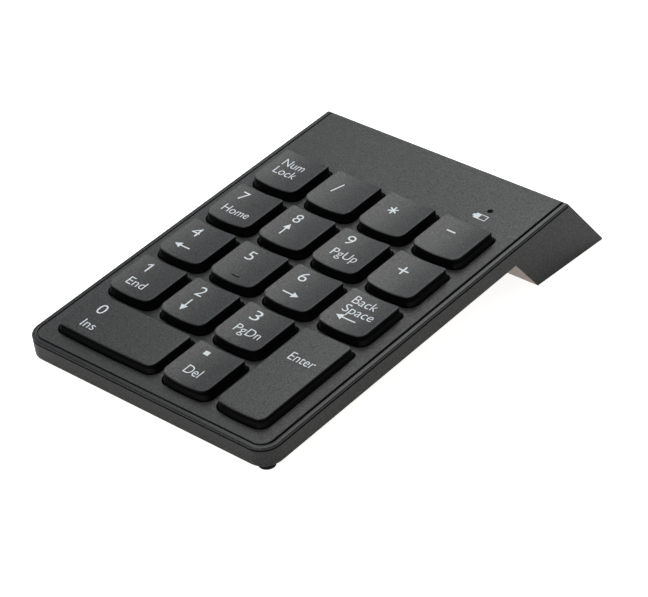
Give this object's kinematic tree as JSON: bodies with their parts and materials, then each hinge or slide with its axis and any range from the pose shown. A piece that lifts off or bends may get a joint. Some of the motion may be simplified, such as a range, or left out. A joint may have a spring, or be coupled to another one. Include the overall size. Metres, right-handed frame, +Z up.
{
  "type": "numeric keypad",
  "caption": "Low wireless numeric keypad with island keys on a sloping deck, a full-width wedge foot holding the cells, a sliding battery door and a USB receiver stowed in the side.",
  "frame": {"origin": "middle of the footprint, on the desk", "axes": "+X to the user's right, +Y to the rear, +Z up; the deck is tilted 5 degrees about X"},
  "size_m": [0.0854, 0.1364, 0.02],
  "materials": {
    "deck_plastic": "fine matte texture",
    "frame_plastic": "plain moulded",
    "rim_plastic": "satin",
    "shell_plastic": "fine spark-eroded texture",
    "keycap_plastic": "matte with white printed legends",
    "dome_silicone": "translucent silicone",
    "circuit_film": "clear polyester film",
    "board_laminate": "solder mask",
    "chip_epoxy": "moulded epoxy",
    "can_metal": "drawn metal",
    "capacitor_ceramic": "ceramic",
    "led_lens": "clear epoxy",
    "light_pipe_clear": "smoked clear",
    "contact_elastomer": "elastomer",
    "knob_plastic": "satin",
    "cell_sleeve": "printed sleeve with bare steel ends",
    "contact_nickel": "nickel-plated strip",
    "spring_steel": "nickel-plated wire",
    "foot_rubber": "matte",
    "screw_steel": "black zinc",
    "wire_steel": "drawn wire",
    "grip_plastic": "satin",
    "plug_steel": "stamped and plated",
    "tongue_plastic": "moulded",
    "pin_gold": "plated strip"
  },
  "bodies": {
    "casing": {"deck_panel": "deck_plastic", "rim_ring": "rim_plastic", "key_frame": "frame_plastic", "bottom_shell": "shell_plastic", "dome_sheet": "dome_silicone", "membrane_top": "circuit_film", "membrane_spacer": "circuit_film", "membrane_bottom": "circuit_film", "circuit_board": "board_laminate", "controller_chip": "chip_epoxy", "crystal": "can_metal", "board_capacitors": "capacitor_ceramic", "indicator_led": "led_lens", "light_pipe": "light_pipe_clear", "tail_contact_strip": "contact_elastomer", "switch_body": "can_metal", "battery_cell_a": "cell_sleeve", "battery_cell_b": "cell_sleeve", "contact_bridge": "contact_nickel", "contact_positive": "contact_nickel", "contact_negative": "contact_nickel", "contact_springs": "spring_steel", "front_foot_left": "foot_rubber", "front_foot_right": "foot_rubber", "rear_pad_left": "foot_rubber", "rear_pad_right": "foot_rubber", "case_screws": "screw_steel", "board_screws": "screw_steel"},
    "key_num_lock": {"key_num_lock": "keycap_plastic"},
    "key_divide": {"key_divide": "keycap_plastic"},
    "key_multiply": {"key_multiply": "keycap_plastic"},
    "key_subtract": {"key_subtract": "keycap_plastic"},
    "key_7": {"key_7": "keycap_plastic"},
    "key_8": {"key_8": "keycap_plastic"},
    "key_9": {"key_9": "keycap_plastic"},
    "key_add": {"key_add": "keycap_plastic"},
    "key_4": {"key_4": "keycap_plastic"},
    "key_5": {"key_5": "keycap_plastic"},
    "key_6": {"key_6": "keycap_plastic"},
    "key_backspace": {"key_backspace": "keycap_plastic"},
    "key_1": {"key_1": "keycap_plastic"},
    "key_2": {"key_2": "keycap_plastic"},
    "key_3": {"key_3": "keycap_plastic"},
    "key_enter": {"key_enter": "keycap_plastic"},
    "key_0": {"key_0": "keycap_plastic"},
    "key_decimal": {"key_decimal": "keycap_plastic"},
    "stabilizer_0": {"stabilizer_wire_0": "wire_steel"},
    "stabilizer_enter": {"stabilizer_wire_enter": "wire_steel"},
    "battery_door": {"battery_door": "shell_plastic"},
    "receiver": {"receiver_grip": "grip_plastic", "receiver_shell": "plug_steel", "receiver_tongue": "tongue_plastic", "receiver_pins": "pin_gold"},
    "switch_knob": {"switch_knob": "knob_plastic"}
  },
  "joints": [
    {"name": "press_num_lock", "type": "slide", "parent": "casing", "child": "key_num_lock", "axis": [0, 0.0872, -0.9962], "range_m": [0, 0.002], "stiffness_N_per_m": 250, "springref_m": -0.0008, "deforming": ["dome_sheet"]},
    {"name": "press_divide", "type": "slide", "parent": "casing", "child": "key_divide", "axis": [0, 0.0872, -0.9962], "range_m": [0, 0.002], "stiffness_N_per_m": 250, "springref_m": -0.0008, "deforming": ["dome_sheet"]},
    {"name": "press_multiply", "type": "slide", "parent": "casing", "child": "key_multiply", "axis": [0, 0.0872, -0.9962], "range_m": [0, 0.002], "stiffness_N_per_m": 250, "springref_m": -0.0008, "deforming": ["dome_sheet"]},
    {"name": "press_subtract", "type": "slide", "parent": "casing", "child": "key_subtract", "axis": [0, 0.0872, -0.9962], "range_m": [0, 0.002], "stiffness_N_per_m": 250, "springref_m": -0.0008, "deforming": ["dome_sheet"]},
    {"name": "press_7", "type": "slide", "parent": "casing", "child": "key_7", "axis": [0, 0.0872, -0.9962], "range_m": [0, 0.002], "stiffness_N_per_m": 250, "springref_m": -0.0008, "deforming": ["dome_sheet"]},
    {"name": "press_8", "type": "slide", "parent": "casing", "child": "key_8", "axis": [0, 0.0872, -0.9962], "range_m": [0, 0.002], "stiffness_N_per_m": 250, "springref_m": -0.0008, "deforming": ["dome_sheet"]},
    {"name": "press_9", "type": "slide", "parent": "casing", "child": "key_9", "axis": [0, 0.0872, -0.9962], "range_m": [0, 0.002], "stiffness_N_per_m": 250, "springref_m": -0.0008, "deforming": ["dome_sheet"]},
    {"name": "press_add", "type": "slide", "parent": "casing", "child": "key_add", "axis": [0, 0.0872, -0.9962], "range_m": [0, 0.002], "stiffness_N_per_m": 250, "springref_m": -0.0008, "deforming": ["dome_sheet"]},
    {"name": "press_4", "type": "slide", "parent": "casing", "child": "key_4", "axis": [0, 0.0872, -0.9962], "range_m": [0, 0.002], "stiffness_N_per_m": 250, "springref_m": -0.0008, "deforming": ["dome_sheet"]},
    {"name": "press_5", "type": "slide", "parent": "casing", "child": "key_5", "axis": [0, 0.0872, -0.9962], "range_m": [0, 0.002], "stiffness_N_per_m": 250, "springref_m": -0.0008, "deforming": ["dome_sheet"]},
    {"name": "press_6", "type": "slide", "parent": "casing", "child": "key_6", "axis": [0, 0.0872, -0.9962], "range_m": [0, 0.002], "stiffness_N_per_m": 250, "springref_m": -0.0008, "deforming": ["dome_sheet"]},
    {"name": "press_backspace", "type": "slide", "parent": "casing", "child": "key_backspace", "axis": [0, 0.0872, -0.9962], "range_m": [0, 0.002], "stiffness_N_per_m": 250, "springref_m": -0.0008, "deforming": ["dome_sheet"]},
    {"name": "press_1", "type": "slide", "parent": "casing", "child": "key_1", "axis": [0, 0.0872, -0.9962], "range_m": [0, 0.002], "stiffness_N_per_m": 250, "springref_m": -0.0008, "deforming": ["dome_sheet"]},
    {"name": "press_2", "type": "slide", "parent": "casing", "child": "key_2", "axis": [0, 0.0872, -0.9962], "range_m": [0, 0.002], "stiffness_N_per_m": 250, "springref_m": -0.0008, "deforming": ["dome_sheet"]},
    {"name": "press_3", "type": "slide", "parent": "casing", "child": "key_3", "axis": [0, 0.0872, -0.9962], "range_m": [0, 0.002], "stiffness_N_per_m": 250, "springref_m": -0.0008, "deforming": ["dome_sheet"]},
    {"name": "press_enter", "type": "slide", "parent": "casing", "child": "key_enter", "axis": [0, 0.0872, -0.9962], "range_m": [0, 0.002], "stiffness_N_per_m": 250, "springref_m": -0.0008, "deforming": ["dome_sheet"]},
    {"name": "press_0", "type": "slide", "parent": "casing", "child": "key_0", "axis": [0, 0.0872, -0.9962], "range_m": [0, 0.002], "stiffness_N_per_m": 250, "springref_m": -0.0008, "deforming": ["dome_sheet"]},
    {"name": "press_decimal", "type": "slide", "parent": "casing", "child": "key_decimal", "axis": [0, 0.0872, -0.9962], "range_m": [0, 0.002], "stiffness_N_per_m": 250, "springref_m": -0.0008, "deforming": ["dome_sheet"]},
    {"name": "turn_wire_0", "type": "hinge", "parent": "casing", "child": "stabilizer_0", "pos_m": [-0.0194, -0.05553, 0.00847], "axis": [-1, 0, 0], "range_deg": [-0.3, 15.62]},
    {"name": "turn_wire_enter", "type": "hinge", "parent": "casing", "child": "stabilizer_enter", "pos_m": [0.0264, -0.04455, 0.00943], "axis": [0, 0.9962, 0.0872], "range_deg": [-0.3, 15.62]},
    {"name": "slide_battery_door", "type": "slide", "parent": "casing", "child": "battery_door", "axis": [0, 1, 0], "range_m": [0, 0.027]},
    {"name": "slide_receiver_out", "type": "slide", "parent": "casing", "child": "receiver", "axis": [-1, 0, 0], "range_m": [0, 0.021]},
    {"name": "slide_power_switch", "type": "slide", "parent": "casing", "child": "switch_knob", "axis": [1, 0, 0], "range_m": [0, 0.0024]}
  ],
  "couplings": [
    {"joint": "turn_wire_0", "follows": "press_0", "rad_per_m": 133.73},
    {"joint": "turn_wire_enter", "follows": "press_enter", "rad_per_m": 133.73}
  ]
}
